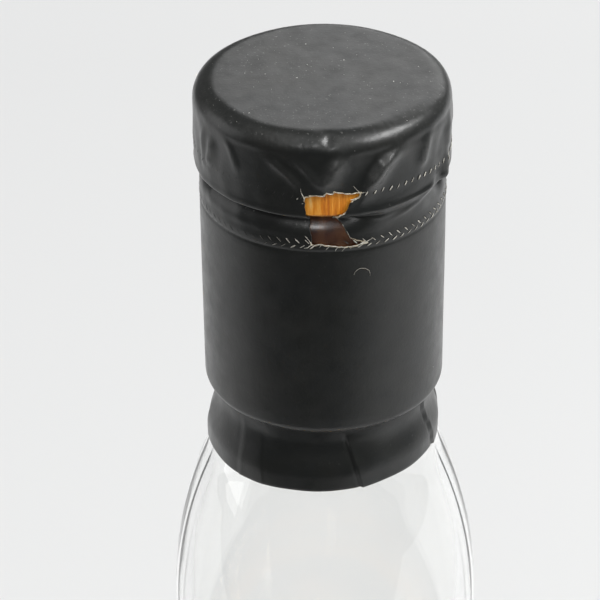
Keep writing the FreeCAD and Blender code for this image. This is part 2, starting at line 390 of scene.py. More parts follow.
def clear_shadow(tree, passes):
    """An Alpha that lets that share of shadow rays through, so that clear pieces cast little shade."""
    in_shadow = add(tree, "ShaderNodeLightPath").outputs["Is Shadow Ray"]
    return sums(tree, "MULTIPLY_ADD", in_shadow, -passes, 1.0)


def glass_finish():
    """Clear flint glass, with a faint ripple, handling marks, and a lip that is slightly dulled."""
    material, tree = new_material("clear_glass_finish")
    height = split(tree, on_piece(tree))["Z"]
    dulled = spread(tree, height, (lip_height - 8) * MM, (lip_height - 5) * MM, 0.0, 0.26)
    marks = spread(tree, noise(tree, 90, 5, 0.65), 0.5, 0.8, 0.0, 0.10)
    return shaded(material, {
        "Base Color": (0.998, 1.0, 0.994, 1),
        "Transmission Weight": 1.0,
        "IOR": 1.5,
        "Roughness": sums(tree, "MAXIMUM", marks, dulled),
        "Alpha": clear_shadow(tree, 0.9),
        "Normal": bump(tree, noise(tree, 60, 1), 0.25, 0.0004),
    })


outside_line, inside_line = bottle_outside(), bottle_inside()
glass = turned(
    "glass_bottle_clear",
    outside_line + inside_line[::-1],
    glass_finish(),
    outside=[1.0] * len(outside_line) + [0.0] * len(inside_line),
    segments=300,
    **{"Waviness": 0.0005, "Wave Size": 0.03, "Seam": 0.00007},
)
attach(glass, "root")
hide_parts("glass_bottle")

# ---------------------------------------------------------------------------------------------------
# Whisky. 70 cl of clear amber spirit that stands up to the lower part of the neck. It reaches just
# into the glass wall, so that no film of air shows, and climbs the glass in a small meniscus.

whisky_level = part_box("whisky")[1].z / MM
into_wall = 0.2
meniscus = 1.0


def whisky_outline():
    """From the middle of the floor up the glass, then over the surface back to the middle."""
    edge, creep = neck_radius - neck_wall + into_wall, 1.2
    surface = [edge * (1 - (i / 24) ** 1.5) for i in range(25)]
    return [
        *body_inside(into_wall),
        *run((edge, shoulder_top), (edge, whisky_level), 1.0),
        *[(r, whisky_level - meniscus * (1 - math.exp((r - edge) / creep))) for r in surface],
    ]


def whisky_finish():
    """Clear amber spirit, pale enough to see through, with a faint unevenness."""
    material, tree = new_material("amber_whisky")
    return shaded(material, {
        "Base Color": (0.97, 0.61, 0.20, 1),
        "Transmission Weight": 1.0,
        "IOR": 1.36,
        "Roughness": 0.0,
        "Alpha": clear_shadow(tree, 0.7),
        "Normal": bump(tree, noise(tree, 25, 0), 0.1, 0.0002),
    })


whisky = turned("whisky_fill", whisky_outline(), whisky_finish(), segments=200)
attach(whisky, "root")
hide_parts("whisky")

# ---------------------------------------------------------------------------------------------------
# Stopper. A turned and lacquered wooden disc, its grain upright, glued to a cork shank that fills the
# bore. The disc rests on the glass lip, and its lower edge has a small bevel.

head_low, head_high = (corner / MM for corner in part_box("stopper_head"))
cork_low, cork_high = (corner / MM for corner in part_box("stopper_cork"))


def head_outline():
    """The disc from the middle of its underside round to the middle of its top."""
    radius, edge, bevel = head_high.x - 0.12, 2.6, 0.28
    foot, crown = head_low.z, head_high.z
    return [
        *run((0, foot), (radius - bevel, foot), 2.0),
        *run((radius - bevel, foot), (radius - 0.05, foot + bevel), 0.1),
        *quarter((radius - 0.25, foot + bevel + 0.12), 0.25, -25, 0, 3),
        *run((radius, foot + bevel + 0.12), (radius, crown - edge), 0.5),
        *quarter((radius - edge, crown - edge), edge, 0, 90, 10),
        *run((radius - edge, crown), (0, crown), 1.5),
        (0, crown),
    ]


def stretched(tree, squeeze):
    """Object coordinates scaled along X, Y and Z, so that a texture runs long where the scale is small."""
    return wired(tree, "ShaderNodeMapping", {"Vector": on_piece(tree), "Scale": squeeze})


def ramp(tree, value, stops):
    """A colour ramp: stops are (position, (red, green, blue))."""
    node = add(tree, "ShaderNodeValToRGB")
    tree.links.new(value, node.inputs[0])
    elements = node.color_ramp.elements
    while len(elements) < len(stops):
        elements.new(0.5)
    for element, (position, colour) in zip(elements, stops):
        element.position = position
        element.color = (*colour, 1)
    return node.outputs[0]


def wood_finish():
    """Orange-brown stained wood with pale upright streaks under a thin lacquer."""
    material, tree = new_material("stained_wood")
    broad = noise(tree, 1.0, 2, 0.6, stretched(tree, (900, 900, 60)), 0.5)
    fine = noise(tree, 1.0, 3, 0.65, stretched(tree, (4200, 4200, 420)), 0.3)
    grain = sums(tree, "ADD", product(tree, broad, 0.62), product(tree, fine, 0.38))
    streaks = [
        (0.36, (0.52, 0.13, 0.006)),
        (0.48, (0.74, 0.24, 0.012)),
        (0.57, (0.88, 0.37, 0.04)),
        (0.67, (0.95, 0.66, 0.25)),
    ]
    return shaded(material, {
        "Base Color": ramp(tree, grain, streaks),
        "Roughness": spread(tree, fine, 0.3, 0.7, 0.38, 0.55),
        "Coat Weight": 0.35,
        "Coat Roughness": 0.25,
        "Normal": bump(tree, grain, 0.6, 0.00015),
    })


def cork_finish():
    """Cork with pores, stained red-brown by the spirit and darkened further by painted shade."""
    material, tree = new_material("stained_cork_painted_shade")
    pores = noise(tree, 900, 4, 0.7)
    # these stops are partly the spirit's stain and partly painted shade, since the cork lies deep under the
    # capsule
    stain_and_shade_stops = [(0.35, (0.045, 0.012, 0.005)), (0.5, (0.15, 0.050, 0.018)), (0.7, (0.28, 0.12, 0.045))]
    return shaded(material, {
        "Base Color": ramp(tree, pores, stain_and_shade_stops),
        "Roughness": 0.8,
        "Normal": bump(tree, pores, 0.7, 0.0003),
    })


head = turned("stopper_head_wood", head_outline(), wood_finish(), segments=360)
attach(head, "root")
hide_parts("stopper_head")

cork_radius, cork_bevel = bore_radius + 0.05, 1.0  # pressed a little into the glass
cork_outline = [
    *run((0, cork_low.z), (bore_radius - cork_bevel, cork_low.z), 1.5),
    *run((bore_radius - cork_bevel, cork_low.z), (cork_radius, cork_low.z + cork_bevel), 0.5),
    *run((cork_radius, cork_low.z + cork_bevel), (cork_radius, cork_high.z), 0.5),
    *run((cork_radius, cork_high.z), (0, cork_high.z), 1.5),
    (0, cork_high.z),
]
cork = turned("stopper_cork_shank", cork_outline, cork_finish(), segments=180)
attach(cork, "root")
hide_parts("stopper_cork")

# ---------------------------------------------------------------------------------------------------
# Capsule. One sleeve of matte black film, shrunk over the head, the groove, the collar and the waist.
# Two perforated tear lines run round it; between them, at the front, a piece has been torn out. The
# film is gathered into folds above the tear, dented at the front rim, and pleated at its lower edge.

film_wall = 0.12
head_side = 16.6
collar_side = 16.04
rim_bend, rim_reach = 2.5, 2.9
lip_bend, lip_foot = 2.8, 14.4
groove_top, groove_foot = 11.0, 14.6
skirt_radius, skirt_edge = 15.2, 53.9


def bell(x, middle, width):
    """1 at the middle, falling off to both sides."""
    return np.exp(-(((x - middle) / width) ** 2))


def smooth_step(x, low, high):
    """0 up to low, 1 from high on, and an S-shaped rise between."""
    x = np.clip((x - low) / (high - low), 0.0, 1.0)
    return x * x * (3 - 2 * x)


def side_radius(drop):
    """Radius of the unfolded film at a drop below the top, from the rim down to the collar, in mm."""
    under_lip = np.clip(lip_foot - drop, 0, lip_bend * 0.78)
    over_lip = collar_side - lip_bend + np.sqrt(lip_bend**2 - under_lip**2)
    radius = over_lip + (head_side - over_lip) * (1 - smooth_step(drop, 11.25, 12.05))
    radius = radius - 0.09 * bell(drop, 16.7, 0.22)
    return radius + 0.04 * bell(drop, 15.6, 0.5) + 0.05 * bell(drop, 10.9, 0.4)


def film_section():
    """Half-section of the unfolded film as (radius, drop), from the middle of the top to the skirt edge."""
    rim_top = head_side - rim_reach
    centre_out = [(rim_top * (i / 13) ** 0.7, 0.0) for i in range(13)]
    turn = np.linspace(0, math.pi / 2, 15)[:-1]
    rim = [(rim_top + rim_reach * math.sin(a), rim_bend - rim_bend * math.cos(a)) for a in turn]
    ranges = ((rim_bend, groove_top, 0.19), (groove_top, 12.2, 0.1), (12.2, 17.3, 0.19))
    fine = [(float(side_radius(d)), float(d)) for each in ranges for d in np.arange(*each)]
    bend, low = 1.4, 43.4
    plain = [(collar_side, float(d)) for d in np.linspace(17.8, low, 16)]
    turn = np.linspace(0.2, math.pi / 2, 7)
    under = [(collar_side - bend + bend * math.cos(a), low + bend * math.sin(a)) for a in turn]
    waist, flare = 14.60, 1.07
    recess = [(waist, 45.0)]
    skirt_drops = np.linspace(45.3, skirt_edge, 30)
    skirt = [(waist + flare * float(smooth_step(d, 46.7, 52.0)), float(d)) for d in skirt_drops]
    return np.array(centre_out + rim + fine + plain + under + recess + skirt)


def fold(around, drop, path, width, height):
    """A soft ridge along a path of (mm round from the front, drop) points, as a height in mm."""
    path = np.array(path, float)
    pieces = np.hypot(*np.diff(path, axis=0).T)
    reached = np.concatenate([[0.0], np.cumsum(pieces)])
    gap, along, side = np.full(np.shape(drop), 1e9), np.zeros(np.shape(drop)), np.ones(np.shape(drop))
    for (x0, y0), (x1, y1), length, before in zip(path[:-1], path[1:], pieces, reached):
        ux, uy = (x1 - x0) / length, (y1 - y0) / length
        step = (around - x0) * ux + (drop - y0) * uy
        inner = np.clip(step, 0, length)
        away = np.hypot(around - x0 - inner * ux, drop - y0 - inner * uy)
        nearer = away < gap
        gap = np.where(nearer, away, gap)
        along = np.where(nearer, (before + inner) / reached[-1], along)
        side = np.where(nearer, (around - x0) * uy - (drop - y0) * ux, side)
    ends = smooth_step(along, -0.05, 0.38) * (1 - 0.8 * smooth_step(along, 0.72, 1.0))
    if height > 0.4:  # the big folds grow slowly, steep to the left and gentle to the right
        width = np.where(side > 0, 1.35 * width, 0.8 * width)
        ends = smooth_step(along, -0.1, 0.6) * (1 - 0.8 * smooth_step(along, 0.75, 1.0))
    return height * ends / np.cosh(np.clip(gap / width, 0, 12)) ** 2


# the folds at the front, as path, width and height, a hollow where it is negative; most of them run
# down towards the torn place
GATHERS = [
    ([(-18.4, 2.8), (-19.0, 5.5), (-18.8, 10.0)], 0.50, 0.26),
    ([(-16.4, 3.6), (-16.9, 5.8), (-17.6, 8.6)], 0.55, 0.34),
    ([(-15.2, 2.9), (-14.9, 5.0), (-15.4, 8.4)], 0.50, -0.22),
    ([(-14.4, 2.2), (-12.7, 3.9), (-11.9, 5.9), (-11.8, 7.6)], 0.42, 0.19),
    ([(-10.6, 3.2), (-9.6, 5.0), (-9.4, 8.0)], 0.90, -0.05),
    ([(-7.9, 2.8), (-6.0, 4.2), (-4.1, 5.7), (-2.6, 7.6)], 0.60, 0.17),
    ([(-6.2, 2.6), (-3.9, 4.4), (-1.9, 6.6)], 0.50, -0.09),
    ([(-4.2, 2.5), (-2.0, 4.6), (0.2, 7.4)], 0.55, 0.16),
    ([(1.2, 3.6), (0.9, 5.4), (0.7, 7.6)], 0.70, -0.15),
    ([(5.2, 1.9), (2.5, 2.7), (1.2, 4.4), (0.4, 6.6), (0.2, 7.8)], 0.90, 0.72),
    ([(7.2, 3.0), (5.4, 4.2), (4.3, 6.0), (3.8, 7.7)], 0.80, -0.30),
    ([(12.8, 2.0), (9.9, 3.0), (7.7, 4.6), (6.5, 6.3), (5.4, 8.3)], 0.90, 0.95),
    ([(17.2, 2.2), (15.0, 3.4), (14.2, 5.4), (13.6, 7.6)], 0.75, 0.52),
    ([(20.2, 3.6), (18.4, 5.4), (17.6, 7.6)], 0.60, -0.20),
    ([(22.4, 2.8), (21.0, 5.2), (20.6, 8.4)], 0.70, 0.34),
    ([(18.2, 8.9), (18.3, 10.0), (17.2, 11.4)], 0.70, -0.60),
    ([(20.6, 7.2), (20.0, 9.4), (19.4, 12.0)], 0.62, 0.62),
    ([(19.5, 8.4), (16.0, 10.9), (11.0, 11.0), (4.6, 11.15)], 0.30, 0.16),
    ([(17.0, 10.6), (13.5, 12.2), (8.6, 13.4)], 0.45, 0.22),
    ([(11.5, 12.2), (7.6, 12.4), (4.4, 12.1)], 0.30, 0.12),
    ([(14.5, 8.6), (9.5, 9.4), (4.4, 9.9)], 0.60, -0.10),
]


def gathers(around, drop):
    """The folds at the front as listed, and looser upright ones round the back."""
    height = sum(fold(around, drop, *each) for each in GATHERS)
    chance = random.Random(7)
    girth = 2 * math.pi * head_side
    back = np.where(around < 0, around + girth, around)
    place = 26.0
    while place < girth - 22.0:
        lean, foot = chance.uniform(-1.8, 1.8), chance.uniform(6.0, 10.4)
        path = [(place, chance.uniform(2.6, 3.6)), (place + lean * 0.3, foot * 0.55), (place + lean, foot)]
        height = height + fold(back, drop, path, chance.uniform(0.45, 0.9), chance.uniform(-0.2, 0.4))
        place += chance.uniform(1.8, 4.2)
    return height


# the pleats: degrees round from the front, drop of the top, lean in degrees over its length, step in mm,
# and the mm over which it fades, to the left where that is negative
PLEATS = [
    (-47.5, 45.4, 1.2, 0.10, 1.1),
    (-34.2, 46.2, 3.4, 0.05, -1.4),
    (11.0, 45.4, 7.4, 0.30, 1.7),
    (62.6, 45.0, 7.0, 0.24, 1.5),
    (98.0, 45.8, -3.0, 0.20, 1.4),
    (131.0, 45.2, 4.0, 0.26, -1.5),
    (163.0, 46.4, -5.0, 0.18, 1.8),
    (-166.0, 45.6, 4.5, 0.24, 1.3),
    (-128.0, 45.3, -3.0, 0.22, -1.5),
    (-89.0, 46.0, 2.5, 0.18, 1.6),
]


def pleats(angle, drop):
    """Where the film overlaps itself at the skirt: a step on one side that fades on the other."""
    height = 0.0
    for start, top, lean, step, fade in PLEATS:
        line = start + lean * np.clip((drop - top) / (skirt_edge - top), 0, 1)
        off = (np.degrees(angle) - line + 180.0) % 360.0 - 180.0
        off = np.radians(off) * skirt_radius * np.sign(fade)
        shape = smooth_step(off, -0.12, 0.10) * np.exp(-np.clip(off, 0, None) / abs(fade))
        valley = -min(0.35, 0.09 / step) * bell(off, -0.28, 0.22) if fade > 0 else 0.0
        height = height + step * smooth_step(drop, top, top + 1.6) * (shape + valley)
    return height


def waves(angle, drop, seed, scale_round, scale_down):
    """Smooth seeded unevenness between about -1 and 1, seamless round the bottle."""
    chance = random.Random(seed)
    count, total = 9, 0.0
    for _ in range(count):
        turns = chance.randint(1, scale_round)
        start = chance.uniform(0, 6.283)
        total = total + np.sin(turns * angle + start + drop / scale_down * chance.uniform(-2, 2))
    return total / math.sqrt(count)


def film_point(angle, radius, drop):
    """Where the film really lies, in mm: its plain shape with dent, folds, pleats and unevenness.

    push moves it out from the plain shape, and lift moves the flat top up.
    """
    around = angle * head_side
    on_side = smooth_step(drop, 0.8, 4.6) * (1 - smooth_step(drop, 12.0, 15.0))
    push = gathers(around, drop) * on_side
    cockled = 0.035 * waves(angle, drop, 3, 34, 2.0) * smooth_step(drop, 1.6, 3.0)
    push = push + cockled * (1 - smooth_step(drop, 14.0, 17.0))
    # on the right the film spans the groove instead of following it
    bridging = 0.85 * smooth_step(angle, 0.12, 0.5) * (1 - smooth_step(angle, 1.0, 1.25))
    straight = head_side + (collar_side - head_side) * smooth_step(drop, groove_top, groove_foot)
    on_groove = (drop > groove_top) & (drop < groove_foot)
    push = push + np.where(on_groove, bridging * (straight - radius), 0.0)
    deepest = 0.16  # hollows stay shallower than this, since wood and glass lie under the film
    push = np.where(push < 0, push / (1 - push / deepest), push)
    push = push + 0.02 * waves(angle, drop, 4, 7, 8.0) * smooth_step(drop, 15.0, 19.0)
    push = push + pleats(angle, drop) * smooth_step(drop, 44.6, 46.0)
    push = push + 0.05 * waves(angle, drop, 5, 16, 3.0) * smooth_step(drop, 44.5, 47.0)
    rim_share = smooth_step(radius, 11.0, 14.5) * (1 - smooth_step(drop, 2.0, 3.2))
    push = push + 0.05 * waves(angle, drop, 6, 9, 3.0) * rim_share
    push = push + 0.008 * waves(angle, drop, 9, 160, 0.25) * rim_share
    # the dent in the front rim: a hollow with a raised lip to its left, and a crease to its right
    flat_x, flat_y = radius * np.sin(angle), -radius * np.cos(angle)
    past_rim = drop - (head_side - radius)
    hollow = np.exp(-(((flat_x - 0.8) / 0.62) ** 2) - ((past_rim + 0.1) / 1.15) ** 2)
    lip = np.exp(-(((flat_x + 0.8) / 0.90) ** 2) - ((past_rim - 0.2) / 1.6) ** 2)
    push = push + np.where(flat_y < 0, 0.125 * lip - 0.32 * hollow, 0.0)
    crease = 0.07 * smooth_step(angle, 0.1, 0.5) * (1 - smooth_step(angle, 1.2, 1.6))
    push = push - crease * bell(drop, 2.9, 0.5)
    # the flat top rises and falls a little
    lift = 0.05 * waves(flat_x / 5, flat_y / 5, 8, 3, 1.0) * (1 - smooth_step(radius, 9.0, 14.0))
    face_up = np.where(drop < rim_bend, (rim_bend - np.minimum(drop, rim_bend)) / rim_bend, 0.0)
    outward = np.sqrt(np.clip(1 - face_up**2, 0, 1))
    real_radius = radius + push * outward
    real_drop = drop - (push * face_up + lift * face_up)
    # the skirt hangs lower on the left
    on_skirt = smooth_step(drop, 46.5, skirt_edge)
    real_radius = real_radius - 0.17 * np.sin(angle) * on_skirt
    real_drop = real_drop - 0.54 * np.sin(angle) * on_skirt
    height = bottle_top - np.maximum(real_drop, 0.02)
    return real_radius * np.sin(angle), -real_radius * np.cos(angle), height


# outline of the torn place, clockwise from its upper left: degrees round from the front, drop
TEAR = [
    (-8.0, 8.45), (-5.4, 8.20), (-2.0, 8.15), (0.6, 8.10), (1.6, 7.70), (4.2, 7.95), (5.0, 7.60),
    (9.6, 8.00), (12.6, 8.15), (16.6, 8.05), (15.6, 8.75), (13.4, 8.85), (11.9, 9.4), (11.0, 10.1),
    (9.4, 10.75), (7.3, 11.0), (5.7, 11.6), (4.7, 12.2), (7.0, 12.3), (9.2, 12.9), (10.2, 13.8),
    (12.2, 14.65), (15.0, 15.3), (20.5, 15.75), (17.2, 15.9), (10.2, 16.05), (3.4, 15.75),
    (-1.4, 15.45), (-5.2, 15.6), (-5.1, 14.6), (-6.0, 13.5), (-6.3, 12.2), (-7.4, 10.9), (-7.8, 9.6),
]


def ragged(outline, step, size, seed):
    """The closed outline in mm with small seeded teeth, a point every step or so."""
    chance = random.Random(seed)
    corners = [(math.radians(a) * head_side, d) for a, d in outline]
    points = []
    for (x0, y0), (x1, y1) in zip(corners, corners[1:] + corners[:1]):
        length = math.hypot(x1 - x0, y1 - y0)
        count = max(1, round(length / step))
        for i in range(count):
            jag = chance.uniform(-size, size) * (0.0 if i == 0 else 1.0)
            x, y = x0 + (x1 - x0) * i / count, y0 + (y1 - y0) * i / count
            points.append((x - (y1 - y0) / length * jag, y + (x1 - x0) / length * jag))
    return np.array(points)


tear_line = ragged(TEAR, 0.28, 0.07, 11)


def inside_outline(points, outline):
    """Which of the points lie inside a closed outline."""
    x, y = points[:, 0], points[:, 1]
    inside = np.zeros(len(points), bool)
    for (x0, y0), (x1, y1) in zip(outline, np.roll(outline, -1, axis=0)):
        crosses = (y0 > y) != (y1 > y)
        inside ^= crosses & (x < (x1 - x0) * (y - y0) / (y1 - y0 + 1e-12) + x0)
    return inside


def nearest_on_outline(points, outline):
    """For each point, the nearest point of a closed outline and its distance."""
    best = np.full(len(points), 1e9)
    spot = np.zeros_like(points)
    for a, b in zip(outline, np.roll(outline, -1, axis=0)):
        edge = b - a
        share = np.clip(((points - a) @ edge) / (edge @ edge + 1e-12), 0, 1)
        foot = a + share[:, None] * edge
        gap = np.hypot(*(points - foot).T)
        nearer = gap < best
        best[nearer], spot[nearer] = gap[nearer], foot[nearer]
    return spot, best


def film_mesh():
    """The film's outer face as a net of quads, finer at the front, with the torn place cut out."""
    section = film_section()
    front = np.radians(np.arange(-33.0, 36.0, 0.69))
    back = np.linspace(front[-1], front[0] + 2 * math.pi, 186)[1:-1]
    angles = np.concatenate([front, back])
    rows, columns = len(section), len(angles)
    wrapped = (angles + math.pi) % (2 * math.pi) - math.pi
    net = np.stack(np.meshgrid(np.arange(rows), np.arange(columns), indexing="ij"), -1).reshape(-1, 2)
    angle, radius, drop = wrapped[net[:, 1]], section[net[:, 0], 0], section[net[:, 0], 1]
    flat = np.stack([angle * head_side, drop], 1)
    near = (np.abs(angle) < 0.6) & (drop > 6.0) & (drop < 18.0)
    cut = np.zeros(len(flat), bool)
    cut[near] = inside_outline(flat[near], tear_line)
    spot, gap = nearest_on_outline(flat, tear_line)
    quads = []
    for i in range(rows - 1):
        for j in range(columns):
            k = (j + 1) % columns
            quads.append((i * columns + j, (i + 1) * columns + j, (i + 1) * columns + k, i * columns + k))
    quads = np.array(quads)
    # cells that the tear crosses are kept, and their corners inside it move out onto its line
    kept = ~cut[quads].all(1)
    edge_cells = kept & cut[quads].any(1)
    moved = np.zeros(len(flat), bool)
    moved[quads[edge_cells].ravel()] = True
    moved &= cut
    flat[moved] = spot[moved]
    angle = flat[:, 0] / head_side
    drop = flat[:, 1]
    radius = np.where(moved, side_radius(drop), radius)
    x, y, z = film_point(angle, radius, drop)
    mesh = bpy.data.meshes.new("capsule_film")
    used = np.unique(quads[kept])
    renumber = np.full(len(flat), -1)
    renumber[used] = np.arange(len(used))
    places = np.stack([x, y, z], 1)[used] * MM
    faces = [tuple(dict.fromkeys(renumber[q])) for q in quads[kept]]
    mesh.from_pydata(places.tolist(), [], [[int(v) for v in f] for f in faces if len(f) > 2])
    # how white the film is: it whitens where it has been torn, but hardly along the clean edges
    torn = np.exp(-np.where(moved, 0.0, gap) / 0.10)[used] * near[used]
    across, low = flat[used, 0], drop[used]
    clean = (across < -1.2) & (low > 9.0) & (low < 15.2)
    clean |= (across > 2.3) & (low > 9.3) & (low < 10.7)
    clean |= (across > 1.2) & (low > 12.3) & (low < 14.7)
    torn = torn * np.where(clean, 0.15, 1.0)
    # how worn it is, with painted sheen: paler along the tops of the folds and round the rim, partly wear
    # and partly painted highlight
    ridges = np.clip(gathers(angle * head_side, drop) / 0.6, 0, 1) * smooth_step(drop, 1.5, 4.0)
    rim = 0.5 * bell(drop, 0.9, 0.9) * smooth_step(radius, 13.8, 15.4)
    rubbed = ridges * (1 - smooth_step(drop, 9.5, 12.0)) + rim
    store(mesh, torn=torn, rubbed=rubbed[used])
    return mesh


def dust_group():
    """Shader group: a mask of fine dust and lint that settles on surfaces facing up."""
    choices = [("Speck Scale", "Float", 2600.0), ("Amount", "Float", 0.5)]
    tree, given, result = new_tree("settled_dust", choices, "Mask", "Float")
    fine = spread(tree, noise(tree, given["Speck Scale"], 1.0), 0.66, 0.78)
    where = spread(tree, noise(tree, 160, 3, 0.6), 0.38, 0.62)
    upward = split(tree, add(tree, "ShaderNodeNewGeometry").outputs["Normal"])["Z"]
    facing_up = spread(tree, upward, 0.2, 0.9, 0.05, 1.0)
    tree.links.new(product(tree, fine, where, facing_up, given["Amount"]), result)
    return tree


settled_dust = dust_group()


def blend_colours(tree, share, first, second):
    """A mix of two colours, each an output or (red, green, blue)."""
    node = add(tree, "ShaderNodeMix", data_type="RGBA")
    feed(tree, share, node.inputs["Factor"])
    for value, socket in ((first, node.inputs[6]), (second, node.inputs[7])):
        feed(tree, value if isinstance(value, bpy.types.NodeSocket) else (*value, 1), socket)
    return node.outputs[2]


def stored(tree, name):
    """What store() has written under that name, for a material."""
    return add(tree, "ShaderNodeAttribute", attribute_name=name).outputs["Fac"]


def film_finish():
    """Matte black film: a soft sheen, a fine grain, dust; grey where worn and as painted sheen on fold tops
    and rim, cream where torn.
    """
    material, tree = new_material("matte_black_film")
    cool, warm, grey = (0.0076, 0.0086, 0.0083), (0.0110, 0.0113, 0.0100), (0.054, 0.055, 0.053)
    black = blend_colours(tree, spread(tree, noise(tree, 120, 3, 0.6), 0.4, 0.7), cool, warm)
    broken = spread(tree, noise(tree, 1300, 4, 0.7), 0.40, 0.66, 0.55, 1.0)
    # the grey on the fold tops and round the rim is partly wear and partly painted sheen
    scuffs_and_sheen = product(tree, stored(tree, "rubbed"), broken)
    amounts = {"Speck Scale": 2600.0, "Amount": 0.3}
    dust = wired(tree, "ShaderNodeGroup", amounts, node_tree=settled_dust)
    dusty = blend_colours(tree, dust, blend_colours(tree, scuffs_and_sheen, black, grey), (0.42, 0.42, 0.40))
    fibres = spread(tree, noise(tree, 3500, 2), 0.3, 0.5)
    frayed = product(tree, spread(tree, stored(tree, "torn"), 0.3, 0.65), fibres)
    rough = spread(tree, noise(tree, 420, 4, 0.6), 0.3, 0.7, 0.30, 0.41)
    grain = bump(tree, noise(tree, 3000, 3, 0.65), 0.24, 0.00006)
    return shaded(material, {
        "Base Color": blend_colours(tree, frayed, dusty, (0.78, 0.66, 0.46)),
        "Roughness": sums(tree, "MULTIPLY_ADD", scuffs_and_sheen, -0.07, rough),
        "IOR": 1.44,
        "Normal": bump(tree, noise(tree, 330, 3, 0.55), 0.30, 0.00012, grain),
    })


film = bpy.data.objects.new("capsule_film", film_mesh())
bpy.context.scene.collection.objects.link(film)
film.data.materials.append(film_finish())
film.data.polygons.foreach_set("use_smooth", [True] * len(film.data.polygons))
# weld the corners that have met on the line of the tear
work = bmesh.new()
work.from_mesh(film.data)
bmesh.ops.remove_doubles(work, verts=work.verts, dist=1e-7)
loose = [v for v in work.verts if not v.link_faces]
bmesh.ops.delete(work, geom=loose, context="VERTS")
work.to_mesh(film.data)
work.free()
thick = film.modifiers.new("film_thickness", "SOLIDIFY")
thick.thickness = film_wall * MM
thick.offset = -1
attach(film, "root")
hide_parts("capsule")

# ---------------------------------------------------------------------------------------------------
# Perforations. Both tear lines are rows of short slits punched through the film; each slit has a pale
# raised lip where the film has stretched, and they stand open near the tear and on the right.


def film_frame(angle, drop):
    """Place on the film in metres, with its outward normal and its directions round and down."""
    radius = side_radius(drop)
    here = np.array(film_point(angle, radius, drop))
    turn, fall = 0.004, 0.06
    around = np.array(film_point(angle + turn, radius, drop)) - here
    down = np.array(film_point(angle, side_radius(drop + fall), drop + fall)) - here
    normal = np.cross(down.T, around.T)
    unit = [v / np.linalg.norm(v, axis=1)[:, None] for v in (normal, around.T, down.T)]
    return here.T * MM, *unit


def marks_mesh(name, marks):
    """Points for the strokes, from marks of degrees, drop, the run round and down, gape and lift.

    The runs and the lift are in mm; gape is how far the slit stands open, up to 1.
    """
    marks = np.array(marks)
    place, normal, around, down = film_frame(np.radians(marks[:, 0]), marks[:, 1])
    mesh = bpy.data.meshes.new(name)
    mesh.from_pydata((place + normal * marks[:, 5:6] * MM).tolist(), [], [])
    half = np.hypot(marks[:, 2], marks[:, 3]) * MM / 2
    along = around * marks[:, 2:3] + down * marks[:, 3:4]
    store(mesh, facing=normal, along=along, gape=marks[:, 4], long=half)
    return mesh


def draw(tree, low, high, seed):
    """A random number for each point."""
    node = add(tree, "FunctionNodeRandomValue", data_type="FLOAT")
    for label, value in ((2, low), (3, high), ("Seed", seed)):
        feed(tree, value, node.inputs[label])
    return node.outputs[1]


def laid(tree, points, shape, turn, size):
    """The shape as an instance on every point, with its rotation and its size along X, Y and Z."""
    scale = wired(tree, "ShaderNodeCombineXYZ", dict(enumerate(size)))
    inputs = {"Points": points, "Instance": shape, "Rotation": turn, "Scale": scale}
    return wired(tree, "GeometryNodeInstanceOnPoints", inputs)


def stroke_tree():
    """Geometry Nodes: lays a dark bead of painted shade for the slit and a pale lip beside it on every
    point, turned along the stroke.
    """
    tree, given, result = new_tree("lay_strokes", [
        ("Marks", "Geometry", None),
        ("Slit Width", "Float", 0.00007),
        ("Lip Width", "Float", 0.00006),
        ("Lip Offset", "Float", -1.6),
        ("Seed", "Int", 1),
        ("Slit", "Material", None),
        ("Lip", "Material", None),
    ], "Strokes")
    points = wired(tree, "GeometryNodeMeshToPoints", {"Mesh": given["Marks"]})
    axes = {0: named(tree, "facing", "FLOAT_VECTOR"), 1: named(tree, "along", "FLOAT_VECTOR")}
    turn = wired(tree, "FunctionNodeAxesToRotation", axes, primary_axis="Z", secondary_axis="X")
    vary = draw(tree, 0.6, 1.3, given["Seed"])
    opened = sums(tree, "POWER", named(tree, "gape"), 0.5)
    reach = named(tree, "long")
    both = add(tree, "GeometryNodeJoinGeometry")
    for part, flatness in (("Slit", 0.35), ("Lip", 0.8)):
        bead = wired(tree, "GeometryNodeMeshIcoSphere", {"Radius": 1.0, "Subdivisions": 2})
        smooth = wired(tree, "GeometryNodeSetShadeSmooth", {"Geometry": bead})
        thick = product(tree, given[f"{part} Width"], vary, opened)
        beads = laid(tree, points, smooth, turn, (reach, thick, product(tree, thick, flatness)))
        if part == "Lip":
            aside = wired(tree, "ShaderNodeCombineXYZ", {1: given["Lip Offset"]})
            beads = wired(tree, "GeometryNodeTranslateInstances", {0: beads, "Translation": aside})
        end_tree(tree, beads, given[part], both.inputs[0])
    tree.links.new(both.outputs[0], result)
    return tree


def plain_finish(name, colour, roughness):
    """A dull finish whose colour and roughness vary a little."""
    material, tree = new_material(name)
    cloud = noise(tree, 1200, 3, 0.6)
    deep = tuple(c * 0.75 for c in colour)
    return shaded(material, {
        "Base Color": blend_colours(tree, cloud, deep, colour),
        "Roughness": spread(tree, cloud, 0.3, 0.7, roughness - 0.08, roughness + 0.08),
        "Normal": bump(tree, cloud, 0.3, 0.00004),
    })


def lip_finish():
    """Stretched film: pale where a slit gapes, nearly black where it has stayed shut."""
    material, tree = new_material("stretched_film")
    cloud = noise(tree, 2400, 2, 0.6)
    pale = blend_colours(tree, cloud, (0.36, 0.33, 0.26), (0.86, 0.84, 0.76))
    share = product(tree, stored(tree, "gape"), spread(tree, cloud, 0.25, 0.5, 0.5, 1.0))
    colour = blend_colours(tree, share, (0.012, 0.012, 0.010), pale)
    return shaded(material, {"Base Color": colour, "Roughness": 0.5})


